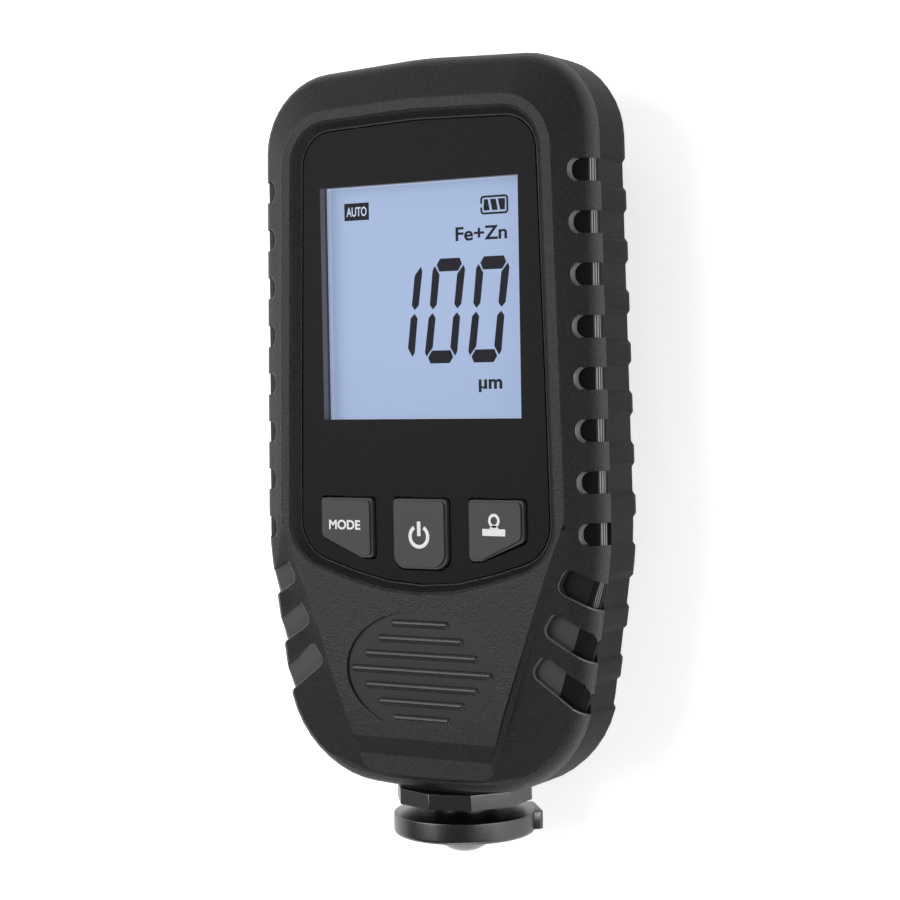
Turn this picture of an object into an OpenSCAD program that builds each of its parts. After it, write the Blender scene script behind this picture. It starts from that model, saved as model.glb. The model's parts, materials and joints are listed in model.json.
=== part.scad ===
// Handheld coating thickness gauge, lying on its back.
// X runs across the front, Y up the gauge from the probe to the top end, Z out of the front face.

/* [Housing] */
// Length of the housing without the probe
body_len = 108.6; // [100:0.1:120]
// Width at the hip, the widest line
body_w = 58.8; // [56:0.1:64]
// Inset of each side from the hip to the top corners
top_in = 1; // [0.5:0.1:2]
// Inset of each side from the hip to the lower corners
foot_in = 3.1; // [2:0.1:4]
// Radius of the top corners
corner_r = 12; // [8:0.1:14]
// Drop of the top corners below the middle of the top end
top_bow = 0.7; // [0.4:0.1:1.5]
// Distance of the hip from the top end
hip_drop = 67.7; // [60:0.1:75]
// Radius of the lower corners
foot_r = 17; // [14:0.1:19]
// Height of the housing floor's underside over the parting line
part_drop = 0.8; // [0.4:0.1:1.2]
// Height above the back at which the side wall turns in
knee_z = 12.7; // [11:0.1:15]
// Wall of the rear shell
wall = 2; // [1.6:0.1:2.4]
// Radius that rolls the side of the front shell over to the shoulder
shoulder_r = 3.2; // [2.4:0.1:3.6]

/* [Rim and lower face] */
// Height of the crest over the panel
crest_rise = 1.4; // [1:0.1:2]
// Distance of the crest line from the panel
rim_w = 2.8; // [2.4:0.1:3.4]
// Distance of the crest line from the panel at its hip
crest_hip_in = 2.8; // [2.2:0.1:3.4]
// Width of the lower face at its toe
toe_w = 22; // [18:0.1:26]
// Distance of the toe from the lower end of the housing
toe_in = 2.6; // [2.2:0.1:4]
// Fall of the lower face towards the toe
toe_fall = 1.8; // [1:0.1:2]
// Width of the oval thumb rest
rest_w = 25.8; // [22:0.1:27]
// Height of the oval thumb rest
rest_h = 18; // [16:0.1:19]
// Distance of the thumb rest from the top end
rest_drop = 90.4; // [89:0.1:92]
// Depth of the thumb rest below the crest
rest_sink = 0.4; // [0.3:0.1:1.2]
// Number of ribs on the thumb rest
rib_count = 7; // [3:2:9]
// Spacing of the ribs
rib_pitch = 2.35; // [2:0.05:2.5]
// Length of the middle rib
rib_len = 23.4; // [18:0.1:24]
// Loss of length from one rib to the next
rib_step = 4.8; // [3:0.1:5]
// Radius of a rib
rib_r = 0.6; // [0.4:0.05:0.8]

/* [Grip notches] */
// Number of straight notches on each side
notch_count = 8; // [4:1:8]
// Spacing of the straight notches
notch_pitch = 7.34; // [6.5:0.02:7.5]
// Distance of the first notch from the top end
notch_drop = 18.25; // [17:0.05:20]
// Height of a notch
notch_h = 3.2; // [2.4:0.1:3.8]
// Reach of a straight notch in from the side
notch_reach = 3.2; // [2.6:0.1:4.4]
// Depth of the scallop in the rear shell below each notch
scallop = 0.45; // [0.2:0.05:0.7]
// Distance of the first slanted notch from the top end
slant_drop = 78.6; // [77.5:0.1:79.5]
// Spacing of the slanted notches
slant_pitch = 7.5; // [7:0.1:8.2]
// Height of a slanted notch
slant_h = 3.7; // [3:0.1:4.2]

/* [Panel and display] */
// Distance of the panel from the top end
panel_drop = 9.5; // [8.5:0.1:11]
// Length of the panel
panel_len = 67.95; // [66:0.05:69]
// Distance of the panel's edge from the side at the hip
panel_in = 8.1; // [7.7:0.05:9]
// Inset of each edge of the panel from its foot to its top
panel_lean = 1.35; // [0.5:0.05:2]
// Radius of the panel's top corners
panel_corner_r = 5; // [3:0.1:7]
// Radius of the panel's lower corners
panel_foot_r = 6; // [4:0.1:7]
// Thickness of the panel
panel_t = 1.25; // [1:0.05:1.4]
// Gap round the panel
panel_gap = 0.2; // [0.1:0.05:0.3]
// Distance of the display opening from the panel's edge at its foot
window_in = 4.25; // [4:0.05:6]
// Height of the display opening
window_h = 34.8; // [30:0.1:36]
// Distance of the display opening from the top end
window_drop = 18.35; // [17.5:0.1:19]
// Thickness of the clear window behind the panel
window_t = 0.9; // [0.6:0.05:1.1]
// Thickness of the housing floor behind the panel
floor_t = 1.45; // [1.2:0.05:1.6]
// Thickness of the display glass
glass_t = 2; // [1.6:0.1:2.4]
// Border of the display glass beyond the opening
glass_border = 2.4; // [1.6:0.1:2.6]
// Wall of the display holder
holder_wall = 1.2; // [0.8:0.1:1.4]

/* [Keys] */
// Distance of the keys from the top end
key_drop = 64.9; // [64:0.1:66]
// Width of the middle key
power_w = 9.2; // [8:0.1:10]
// Height of the middle key
power_h = 10.3; // [9:0.1:10.4]
// Width of a side key
side_w = 9.1; // [8:0.1:9.6]
// Height of a side key at its inner edge
side_h = 8.9; // [8:0.1:9.2]
// Height of a side key at its outer edge
side_outer_h = 5.9; // [5:0.1:7]
// Distance of a side key from the middle key, centre to centre
key_pitch = 12.9; // [12.2:0.1:13.2]
// Height of the keys over the panel
key_rise = 0.9; // [0.7:0.05:1.2]
// Travel of a key
key_travel = 0.6; // [0.3:0.05:0.6]
// Gap round a key
key_gap = 0.3; // [0.2:0.05:0.4]

/* [Board and batteries] */
// Distance of the board's edge from the side at the hip
board_in = 3.9; // [3.5:0.1:5]
// Thickness of the circuit board
board_t = 1.6; // [1.2:0.1:1.8]
// Distance of the board behind the housing floor
board_drop = 5.3; // [5:0.1:6]
// Room between the battery bay and the board
board_gap = 0.15; // [0.1:0.05:0.6]
// Diameter of a battery cell
cell_d = 10.4; // [10.2:0.1:10.5]
// Length of a battery cell with its terminal
cell_len = 44.5; // [44:0.1:45]
// Free room for the spring at the end of a cell
cell_spring = 4.6; // [4:0.1:5.5]
// Thickness of the battery door
door_t = 1.6; // [1.4:0.05:1.8]
// Gap round the battery door
door_gap = 0.3; // [0.2:0.05:0.4]

/* [Probe] */
// Offset of the probe's axis from the middle of the depth
probe_shift = 0.2; // [0:0.1:0.5]
// Radius over the corners of the collar
collar_r = 10.5; // [10:0.1:11]
// Thickness of the collar
collar_t = 2.4; // [1.8:0.1:2.8]
// Radius of the barrel
barrel_r = 7; // [6.8:0.1:7.2]
// Length of the barrel inside the housing
barrel_in = 17; // [16:0.1:18]
// Radius of the plunger's shaft
shaft_r = 4.95; // [4.8:0.05:5.1]
// Running clearance of the shaft
shaft_fit = 0.05; // [0.03:0.01:0.08]
// Travel of the probe
probe_travel = 0.8; // [0.6:0.1:1.3]
// Gap that stays open above the foot when the probe is pressed in
foot_gap = 0.4; // [0.3:0.1:0.6]
// Radius of the foot
foot_disc_r = 10.8; // [10:0.1:11.2]
// Height of the foot
foot_disc_h = 4.1; // [3.8:0.1:5.2]
// Radius of the tip
tip_r = 3.9; // [3:0.1:4.4]
// Height of the tip below the foot
tip_out = 2.8; // [2:0.1:3.6]

/* [Hidden] */
$fn = 48;
seat_t = 0.2;
snug = 0.05;
neck = probe_travel + foot_gap;
end_r = 100;
bow_r = 60;
hip_r = 60;
steps = [2, 10, 4, 10, 2];
probe_out = seat_t + collar_t + neck + foot_disc_h + tip_out;
y_top = (body_len + probe_out) / 2;
y_bot = y_top - body_len;
top_w = body_w - 2 * top_in;
foot_w = body_w - 2 * foot_in;
panel_w = body_w - 2 * panel_in;
panel_top_w = panel_w - 2 * panel_lean;
crest_hip_w = panel_w + 2 * crest_hip_in;
window_w = panel_w - 2 * window_in;
board_w = body_w - 2 * board_in;

// Heights stack up from the back: door, cells, board, display, panel, crest
door_z = 0.15;
ledge_z = door_z + door_t + 0.1;
bay_roof = ledge_z + 0.5 + cell_d + 0.3;
roof_t = 0.8;
board_under = bay_roof + roof_t + board_gap;
board_z = board_under + board_t;
roof_z = board_z + board_drop;
part_z = roof_z - part_drop;
floor_z = roof_z + floor_t;
panel_z = floor_z + panel_t;
body_depth = panel_z + crest_rise;
probe_z = body_depth / 2 + probe_shift;

function at(drop) = y_top - drop;

// A half outline is a chain of posts [x, y, radius], from the lower end to the top end.
function lean(a, b) =
    let (v = atan2(b.y - a.y, b.x - a.x) - acos((a.z - b.z) / norm([b.x - a.x, b.y - a.y])))
    v < -180 ? v + 360 : v;
function half(posts, grow) = [
    for (i = [0 : len(posts) - 1])
        let (p = posts[i], last = len(posts) - 1,
             t0 = i == 0 ? -90 : lean(posts[i - 1], p),
             t1 = i == last ? 90 : lean(p, posts[i + 1]))
        for (k = [0 : steps[i]])
            let (t = t0 + (t1 - t0) * k / steps[i])
            [p.x + (p.z + grow) * cos(t), p.y + (p.z + grow) * sin(t)]];
function ring(posts, grow = 0) =
    let (h = half(posts, grow), n = len(h))
    concat(h, [for (i = [n - 2 : -1 : 1]) [-h[i].x, h[i].y]]);
function raise(pts, z) = [for (p = pts) [p.x, p.y, z]];
function mix(a, b, t) = [for (i = [0 : len(a) - 1]) a[i] + (b[i] - a[i]) * t];

// Height of a corner post's centre that hands the bowed end below it over half way along
function corner_y(y_end, r_end, x, r) =
    let (g = r_end - r, d = g / cos(asin(x / g) / 2)) y_end + r_end - sqrt(d * d - x * x);

// Half width of an outline on the straight run between two of its posts
function run_x(a, b, y) =
    let (v = lean(a, b)) (a.x * cos(v) + a.y * sin(v) + a.z - y * sin(v)) / cos(v);

side_posts = [
    [0, y_bot + end_r, end_r],
    [foot_w / 2 - foot_r, corner_y(y_bot, end_r, foot_w / 2 - foot_r, foot_r), foot_r],
    [body_w / 2 - hip_r, at(hip_drop), hip_r],
    [top_w / 2 - corner_r, y_top - top_bow - corner_r, corner_r],
    [0, y_top - bow_r, bow_r]];
panel_y1 = at(panel_drop);
panel_y0 = panel_y1 - panel_len;
panel_bow = 0.5;
panel_arc = 40;
foot_rise = panel_foot_r + 3.15;
panel_posts = [
    [0, panel_y0 + panel_arc, panel_arc],
    [panel_w / 2 - panel_foot_r, panel_y0 + foot_rise, panel_foot_r],
    [(panel_w * 2 + panel_top_w) / 6 - hip_r + 0.05,
     (panel_y0 + foot_rise) * 2 / 3 + (panel_y1 - panel_corner_r) / 3, hip_r],
    [panel_top_w / 2 - panel_corner_r, panel_y1 - panel_bow - panel_corner_r, panel_corner_r],
    [0, panel_y1 - bow_r, bow_r]];
toe_r = 2;
crest_hip_r = 8.2;
crest_posts = [
    [0, y_bot + toe_in + end_r, end_r],
    [toe_w / 2 - toe_r, corner_y(y_bot + toe_in, end_r, toe_w / 2 - toe_r, toe_r), toe_r],
    [crest_hip_w / 2 - crest_hip_r, panel_y0 + foot_rise + 2.1, crest_hip_r],
    [panel_posts[3].x, panel_posts[3].y, panel_corner_r + rim_w],
    [0, panel_posts[4].y, bow_r + rim_w]];
back_in = 11;
back_posts = [
    [0, y_bot + 3 + end_r, end_r],
    [foot_w / 2 - back_in - 12, corner_y(y_bot + 3, end_r, foot_w / 2 - back_in - 12, 12), 12],
    [body_w / 2 - back_in - hip_r, at(hip_drop), hip_r],
    [top_w / 2 - back_in - 8, -corner_y(11 - y_top, bow_r, top_w / 2 - back_in - 8, 8), 8],
    [0, y_top - 11 - bow_r, bow_r]];

// Stack of matching rings, closed by a flat face at each end
module loft(rings) {
    n = len(rings[0]);
    m = len(rings);
    polyhedron(
        points = [for (r = rings) each r],
        faces = concat(
            [[for (i = [0 : n - 1]) i]],
            [for (j = [0 : m - 2]) for (i = [0 : n - 1])
                let (k = (i + 1) % n, a = j * n, b = a + n)
                each [[a + i, b + i, b + k], [a + i, b + k, a + k]]],
            [[for (i = [n - 1 : -1 : 0]) (m - 1) * n + i]]));
}

module both_sides() {
    children();
    mirror([1, 0, 0]) children();
}

// Turns a shape drawn round Z onto the probe's axis; its zero is the lower end of the housing
module on_probe() translate([0, y_bot, probe_z]) rotate([-90, 0, 0]) children();

// Height of the crest: flat, then falling to the toe
toe_len = 16;
function crest_at(y) =
    body_depth - toe_fall * pow(max(0, (y_bot + toe_len - y) / (toe_len - toe_in)), 2);
function on_crest(pts, sink = 0) = [for (p = pts) [p.x, p.y, crest_at(p.y) - sink]];

rim_in = 1.7;
module front_form() difference() {
    intersection() {
        loft(concat(
            [for (t = [0, 20, 40, 60])
                raise(ring(side_posts, -shoulder_r * (1 - cos(t))), part_z + shoulder_r * sin(t))],
            [on_crest(ring(crest_posts, 0.7), 0.3)],
            [on_crest(ring(crest_posts), -0.3)],
            [raise(ring(crest_posts), body_depth + 1)]));
        rotate([90, 0, 90]) translate([0, 0, -body_w]) linear_extrude(2 * body_w) polygon(concat(
            [[y_top + 5, part_z - 1], [y_top + 5, body_depth]],
            [for (i = [0 : 6]) let (y = y_bot + toe_len * (1 - i / 6)) [y, crest_at(y)]],
            [[y_bot - 5, crest_at(y_bot)], [y_bot - 5, part_z - 1]]));
    }
    loft([
        raise(ring(panel_posts, panel_gap + 0.2), panel_z),
        raise(ring(panel_posts, rim_in - 0.5), body_depth - 0.2),
        raise(ring(panel_posts, rim_in + 1), body_depth + 0.4)]);
}

// Plan and section of one grip notch, drawn from the side line inwards
notch_sink = 1.9;
module notch(reach, h, round_r) {
    r = h / 2;
    intersection() {
        translate([0, 0, part_z - 1]) linear_extrude(body_depth) union() {
            for (y = [round_r - r, r - round_r]) translate([round_r - reach, y]) circle(round_r);
            translate([-reach, round_r - r]) square([reach + 2, h - 2 * round_r]);
            translate([round_r - reach, -r]) square([reach - round_r + 2, h]);
        }
        rotate([90, 0, 0]) translate([0, 0, -h]) linear_extrude(2 * h) polygon([
            [-reach - 1, body_depth + 1], [-reach - 1, body_depth - notch_sink],
            [-1.5, part_z + 1.8], [-0.55, part_z + 0.8], [-scallop, part_z - 1],
            [3, part_z - 1], [3, body_depth + 1]]);
    }
}
notch_ys = [for (i = [0 : notch_count - 1]) at(notch_drop) - i * notch_pitch];
slant_ys = [for (i = [0 : 2]) at(slant_drop) - i * slant_pitch];
function slant_x(y) = run_x(side_posts[1], side_posts[2], y);
function notch_x(y) = run_x(side_posts[2], side_posts[3], y);
module notches() {
    for (y = notch_ys) translate([notch_x(y), y]) notch(notch_reach, notch_h, notch_h / 2 - 0.2);
    for (i = [0 : 2]) translate([slant_x(slant_ys[i]), slant_ys[i]])
        rotate(-28 - 4.5 * i) notch(5.7 + 1.5 * i, slant_h, 1.2);
}

module oval(w, h) polygon([for (i = [0 : 47]) [w / 2 * cos(i * 7.5), h / 2 * sin(i * 7.5)]]);
module panel_outline(grow) polygon(ring(panel_posts, grow));
module window_outline(grow)
    translate([-window_w / 2 - grow, at(window_drop) - window_h - grow])
        square([window_w + 2 * grow, window_h + 2 * grow]);

// Key outlines: the middle key has clipped lower corners, the side keys a slanted foot
key_y = at(key_drop);
module power_outline(g) {
    c = 1.2;
    x = power_w / 2 + g;
    y1 = key_y + g;
    y0 = key_y - power_h - g;
    polygon([[x, y1], [-x, y1], [-x, y0 + c], [-x + c, y0], [x - c, y0], [x, y0 + c]]);
}
module side_outline(g) {
    x0 = key_pitch - side_w / 2 - g;
    x1 = key_pitch + side_w / 2 + g;
    y1 = key_y + g;
    polygon([[x0, y1], [x0, key_y - side_h - g], [x0 + 2, key_y - side_h - g],
             [x1, key_y - side_outer_h - g], [x1, y1]]);
}
module key_outlines(g) {
    power_outline(g);
    side_outline(g);
    mirror([1, 0]) side_outline(g);
}

screw_at = [[top_w / 2 - 7.1, at(11.2)], [foot_w / 2 - 8.3, at(86.7)]];
pillar_at = [[top_w / 2 - 4.7, at(19.7)], [body_w / 2 - 6.9, at(71.7)]];
pilot_r = 0.9;
pillar_r = 2.4;
pilot_z = body_depth - 2.2;
rest_z = body_depth - rest_sink;

module front_shell() color("#2f2f2f") {
    difference() {
        front_form();
        translate([0, 0, floor_z]) linear_extrude(body_depth) panel_outline(panel_gap);
        translate([0, 0, part_z - 1]) linear_extrude(roof_z - part_z + 1) panel_outline(1.2);
        translate([0, 0, part_z - 1]) linear_extrude(body_depth) window_outline(0.6);
        translate([0, 0, part_z - 1]) linear_extrude(body_depth) key_outlines(key_gap);
        translate([-9.2, y_bot + 3.4, part_z - 1]) cube([18.4, barrel_in - 1, 2.4]);
        translate([0, at(rest_drop), rest_z]) linear_extrude(5) oval(rest_w, rest_h);
        both_sides() notches();
        both_sides() for (p = concat(screw_at, pillar_at))
            translate([p.x, p.y, part_z - 1]) cylinder(r = pilot_r, h = pilot_z - part_z + 1);
    }
    for (i = [-(rib_count - 1) / 2 : (rib_count - 1) / 2])
        translate([0, at(rest_drop) + i * rib_pitch, rest_z - rib_r / 3]) rotate([0, 90, 0])
            cylinder(r = rib_r, h = rib_len - abs(i) * rib_step, center = true);
    both_sides() for (p = pillar_at) difference() {
        translate([p.x, p.y, board_z]) cylinder(r = pillar_r, h = part_z - board_z + 0.4);
        translate([p.x, p.y, board_z - 1]) cylinder(r = pilot_r, h = body_depth);
    }
}

// Rear shell: side wall, then a long taper to the flat back
taper = [[0, 0], [0.13, 0.027], [0.24, 0.1], [0.32, 0.21], [0.91, 0.8], [0.97, 0.9], [1, 1]];
module rear_form(grow, z0, z1) {
    side = ring(side_posts, grow);
    back = ring(back_posts, grow);
    loft(concat(
        [for (p = taper) raise(mix(back, side, p[0]), z0 + p[1] * (knee_z - z0))],
        [raise(side, z1)]));
}

cell_gap = 0.5;
bay_w = 2 * cell_d + 3 * cell_gap;
bay_len = cell_len + cell_spring + 0.8;
bay_y = at(30.3) - bay_len;
rebate = 1.6;
bay_wall = 1.2;
cell_z = ledge_z + 0.5 + cell_d / 2;
cell_x = (cell_d + cell_gap) / 2;
boss_r = 3.2;
head_r = 2.1;
head_t = 1.6;
head_z = 9;
board_y0 = at(77.7);
board_y1 = at(15.7);

module bay(grow, z0, z1)
    translate([-bay_w / 2 - grow, bay_y - grow, z0]) cube([bay_w + 2 * grow, bay_len + 2 * grow, z1 - z0]);

module rear_shell() color("#343434") difference() {
    union() {
        difference() {
            rear_form(0, 0, part_z);
            rear_form(-wall, wall, part_z + 1);
        }
        bay(rebate + 1, 1, ledge_z + 1.4);
        bay(bay_wall, ledge_z, bay_roof + roof_t);
        intersection() {
            rear_form(0, 0, part_z);
            both_sides() for (p = screw_at) translate([p.x, p.y, 0]) cylinder(r = boss_r, h = part_z);
        }
        intersection() {
            on_probe() translate([0, 0, -seat_t]) cylinder(r = collar_r - 1, h = seat_in + seat_t);
            translate([-20, y_bot - 5, 0]) cube([40, 20, part_z]);
        }
    }
    bay(0, -1, bay_roof);
    bay(rebate, -1, ledge_z);
    both_sides() for (p = screw_at) translate([p.x, p.y, 0]) {
        translate([0, 0, -1]) cylinder(r = head_r + 0.3, h = head_z + 1);
        cylinder(r = 1.3, h = part_z + 1);
    }
    on_probe() translate([0, 0, -2]) cylinder(r = barrel_r + snug, h = 8);
    on_probe() translate([0, 0, seat_in]) cylinder(r = flange_r + 0.3, h = 4);
    both_sides() for (y = concat(notch_ys, slant_ys))
        translate([y < at(hip_drop) ? slant_x(y) : notch_x(y), y, 8]) linear_extrude(part_z) polygon([
            [-scallop, -notch_h / 2 - 0.2], [1, -notch_h / 2 - 2.2],
            [1, notch_h / 2 + 2.2], [-scallop, notch_h / 2 + 0.2]]);
}

module front_panel() color("#1f1f1f") difference() {
    translate([0, 0, floor_z]) linear_extrude(panel_t) panel_outline(0);
    translate([0, 0, floor_z - 1]) linear_extrude(panel_t + 2) window_outline(0);
    translate([0, 0, floor_z - 1]) linear_extrude(panel_t + 2) key_outlines(key_gap);
}

module display_window() color("#c8d4dc")
    translate([0, 0, floor_z - window_t]) linear_extrude(window_t) window_outline(0.4);

glass_z = roof_z - 0.05 - glass_t;
module lcd_glass() color("#aebbe4")
    translate([0, 0, glass_z]) linear_extrude(glass_t) window_outline(glass_border);

light_t = 2.6;
zebra_w = 2.4;
holder_gap = 0.1;
module backlight() color("#eef2ff") translate([0, 0, glass_z - light_t]) linear_extrude(light_t) difference() {
    window_outline(glass_border - 1);
    translate([-board_w, at(window_drop) - window_h - 10]) square([2 * board_w, 10 + zebra_w]);
}

module zebra_strip() color("#b86a86")
    translate([-window_w / 2, at(window_drop) - window_h - glass_border + 0.6, board_z])
        cube([window_w, zebra_w, glass_z - board_z]);

module lcd_holder() color("#e4e4e0") {
    translate([0, 0, board_z]) linear_extrude(roof_z - 0.15 - board_z) difference() {
        window_outline(glass_border + holder_gap + holder_wall);
        window_outline(glass_border + holder_gap);
    }
    translate([0, 0, board_z]) linear_extrude(glass_z - light_t - board_z) difference() {
        window_outline(glass_border + holder_gap + 0.1);
        window_outline(glass_border - 2.4);
        translate([-board_w, at(window_drop) - window_h - 10]) square([2 * board_w, 10 + zebra_w]);
    }
}

module main_board() color("#1f6b43") difference() {
    translate([-board_w / 2, board_y0, board_under]) cube([board_w, board_y1 - board_y0, board_t]);
    both_sides() for (p = pillar_at) translate([p.x, p.y, board_under - 1]) cylinder(r = 1.2, h = board_t + 2);
}

module board_chips() color("#262626") {
    y = at(window_drop) - window_h - glass_border - holder_wall - 4.2;
    translate([-3.5, y - 2.6, board_z]) cube([7, 5.2, 1.4]);
    both_sides() translate([8, y - 1.6, board_z]) cube([4.2, 3.2, 1.2]);
}

module lead_socket() color("#f2efe6") translate([-3, board_y0 + 0.6, board_z]) cube([6, 3.6, 3]);

lip = 0.6;
lip_t = 0.7;
lip_z = roof_z - 0.1 - lip_t;
switch_top = lip_z - key_travel - 0.15;
key_bevel = 0.35;
key_mid = [[0, key_y - power_h / 2], [key_pitch, key_y - side_outer_h / 2 - 0.8],
           [-key_pitch, key_y - side_outer_h / 2 - 0.8]];
module tact_switches() color("#8f8f8f") for (p = key_mid) translate([p.x, p.y, board_z]) {
    translate([-2.25, -2.25, 0]) cube([4.5, 4.5, 2.6]);
    cylinder(r = 1.3, h = switch_top - board_z);
}

// A key is an outline that stands through the panel, a bevelled cap and a lip behind the housing floor
module power_key() color("#565656") {
    translate([0, 0, lip_z]) linear_extrude(panel_z + key_rise - key_bevel - lip_z) power_outline(0);
    translate([0, 0, panel_z + key_rise - key_bevel]) linear_extrude(key_bevel) power_outline(-key_bevel);
    translate([0, 0, lip_z]) linear_extrude(lip_t) power_outline(key_gap + lip);
}
module side_key() {
    translate([0, 0, lip_z]) linear_extrude(panel_z + key_rise - key_bevel - lip_z) side_outline(0);
    translate([0, 0, panel_z + key_rise - key_bevel]) linear_extrude(key_bevel) side_outline(-key_bevel);
    translate([0, 0, lip_z]) linear_extrude(lip_t) side_outline(key_gap + lip);
}
module zero_key() color("#565656") side_key();
module mode_key() color("#565656") mirror([1, 0, 0]) side_key();

module case_screws() color("#b9bcc0") both_sides() for (p = screw_at) translate([p.x, p.y, 0]) {
    difference() {
        translate([0, 0, head_z - head_t]) cylinder(r = head_r, h = head_t);
        translate([-1.3, -0.3, head_z - head_t - 1]) cube([2.6, 0.6, 1.7]);
        translate([-0.3, -1.3, head_z - head_t - 1]) cube([0.6, 2.6, 1.7]);
    }
    translate([0, 0, head_z - 0.2]) cylinder(r = pilot_r - snug, h = pilot_z - 0.6 - head_z + 0.2);
}

module board_screws() color("#b9bcc0") both_sides() for (p = pillar_at) translate([p.x, p.y, board_under]) {
    translate([0, 0, -1.2]) cylinder(r = 1.6, h = 1.2);
    translate([0, 0, -0.2]) cylinder(r = pilot_r - snug, h = board_t + 4);
}

module battery_door() color("#343434") {
    difference() {
        translate([0, 0, door_z]) bay(rebate - door_gap, 0, door_t);
        translate([0, bay_y + bay_len - 3, door_z - 1]) linear_extrude(1.6) oval(14, 6);
    }
    for (x = [-1, 1]) translate([x * (bay_w / 2 - 1.3) - 0.5, bay_y + 4, door_z + door_t - 0.1])
        cube([1, bay_len - 8, 0.5]);
}

module cell(flip) translate([0, flip ? cell_spring + 0.4 : 0.4, cell_z]) rotate([-90, 0, 0])
    translate([0, 0, flip ? 0 : cell_len]) mirror([0, 0, flip ? 0 : 1]) {
        cylinder(d = cell_d, h = cell_len - 1);
        translate([0, 0, cell_len - 1.1]) cylinder(r = 1.9, h = 1.1);
    }
module battery_cells() color("#7d8794") translate([0, bay_y, 0]) {
    translate([cell_x, 0, 0]) cell(true);
    translate([-cell_x, 0, 0]) cell(false);
}

module battery_contacts() color("#c9c4b4") for (y = [bay_y, bay_y + bay_len - 0.4])
    translate([-bay_w / 2 + 0.6, y, cell_z - 3.6]) cube([bay_w - 1.2, 0.4, 7.2]);

// Coil of round wire along Z, with a round of points at each step
module coil(r0, r1, length, turns, wire, sides = 6, round_steps = 14) {
    n = turns * round_steps;
    loft([for (k = [0 : n]) let (f = k / n, a = 360 * k / round_steps, r = r0 + (r1 - r0) * f)
        [for (i = [0 : sides - 1]) let (t = -360 * i / sides, q = r + wire * cos(t))
            [q * cos(a), q * sin(a), wire + (length - 2 * wire) * f + wire * sin(t)]]]);
}
module battery_springs() color("#c9c4b4") {
    translate([cell_x, bay_y + 0.42, cell_z]) rotate([-90, 0, 0])
        coil(3.6, 2.6, cell_spring - 0.04, 4, 0.35);
    translate([-cell_x, bay_y + bay_len - 0.42, cell_z]) rotate([90, 0, 0])
        coil(3.6, 2.6, cell_spring - 0.04, 4, 0.35);
}

// Probe: heights are measured from the lower end of the housing, positive inwards
seat_in = 3.4;
flange_r = barrel_r + 1.6;
guide_top = 5;
cap_t = 2;
chamber_r = barrel_r - 0.8;
collar_low = -seat_t - collar_t;
foot_top = collar_low - neck;
foot_low = foot_top - foot_disc_h;
lead_r = 0.55;
module probe_barrel() color("#8d9196") on_probe() difference() {
    union() {
        translate([0, 0, collar_low]) cylinder(r = barrel_r, h = barrel_in - collar_low);
        translate([0, 0, seat_in]) cylinder(r = flange_r, h = 1.5);
    }
    translate([0, 0, collar_low - 1]) cylinder(r = shaft_r + shaft_fit, h = barrel_in + 10);
    translate([0, 0, guide_top]) cylinder(r = chamber_r, h = barrel_in);
}
module barrel_cap() color("#8d9196") on_probe() difference() {
    translate([0, 0, barrel_in - cap_t]) cylinder(r = chamber_r - snug, h = cap_t);
    translate([0, 0, barrel_in - cap_t - 1]) cylinder(r = lead_r + 0.5, h = cap_t + 2);
}
module probe_collar() color("#6a6d70") on_probe() difference() {
    translate([0, 0, collar_low]) rotate(33) cylinder(r = collar_r, h = collar_t, $fn = 10);
    translate([0, 0, collar_low - 1]) cylinder(r = barrel_r + snug, h = collar_t + 2);
}
head_h = 1.5;
coil_bore = shaft_r - 1.2;
tip_in = 2.6;
module probe_plunger() color("#3c3d3f") on_probe() {
    difference() {
        rotate_extrude() polygon([
            [0, foot_low], [foot_disc_r - 1.6, foot_low], [foot_disc_r - 0.5, foot_low + 0.5],
            [foot_disc_r, foot_low + 1.5], [foot_disc_r, foot_top - 1.3], [foot_disc_r - 0.3, foot_top - 1.1],
            [shaft_r + 2, foot_top], [shaft_r, foot_top], [shaft_r, guide_top + 0.05],
            [chamber_r - 0.3, guide_top + 0.05], [chamber_r - 0.3, guide_top + 0.05 + head_h],
            [0, guide_top + 0.05 + head_h]]);
        translate([0, 0, foot_low - 1]) cylinder(r = tip_r + snug, h = tip_in + 1);
        translate([0, 0, foot_low + tip_in - 0.1]) cylinder(r = coil_bore, h = guide_top - foot_low - tip_in);
        translate([0, 0, foot_low]) cylinder(r = lead_r + 0.5, h = 30);
    }
    translate([foot_disc_r - 0.8, -1.7, foot_low + 1.2]) cube([2.1, 3.4, foot_disc_h - 1.2]);
}
dome_r = (tip_r * tip_r + tip_out * tip_out) / (2 * tip_out);
core_r = 1;
coil_h = guide_top - foot_low - tip_in - 1.5;
module probe_tip() color("#d7d9db") on_probe() {
    translate([0, 0, foot_low]) cylinder(r = tip_r, h = tip_in);
    intersection() {
        translate([0, 0, foot_low - tip_out]) cylinder(r = tip_r, h = tip_out + 0.5);
        translate([0, 0, foot_low - tip_out + dome_r]) sphere(dome_r);
    }
    translate([0, 0, foot_low + tip_in - 0.2]) cylinder(r = core_r, h = coil_h);
}
module probe_coil() color("#a8682f") on_probe() translate([0, 0, foot_low + tip_in + 0.02]) difference() {
    cylinder(r = coil_bore - 0.1, h = coil_h);
    translate([0, 0, -1]) cylinder(r = core_r + snug, h = coil_h + 2);
}
module probe_spring() color("#b9bcc0") on_probe() translate([0, 0, guide_top + 0.07 + head_h])
    coil(chamber_r - 0.9, chamber_r - 0.9, barrel_in - cap_t - guide_top - head_h - 0.1, 4, 0.45);

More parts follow.
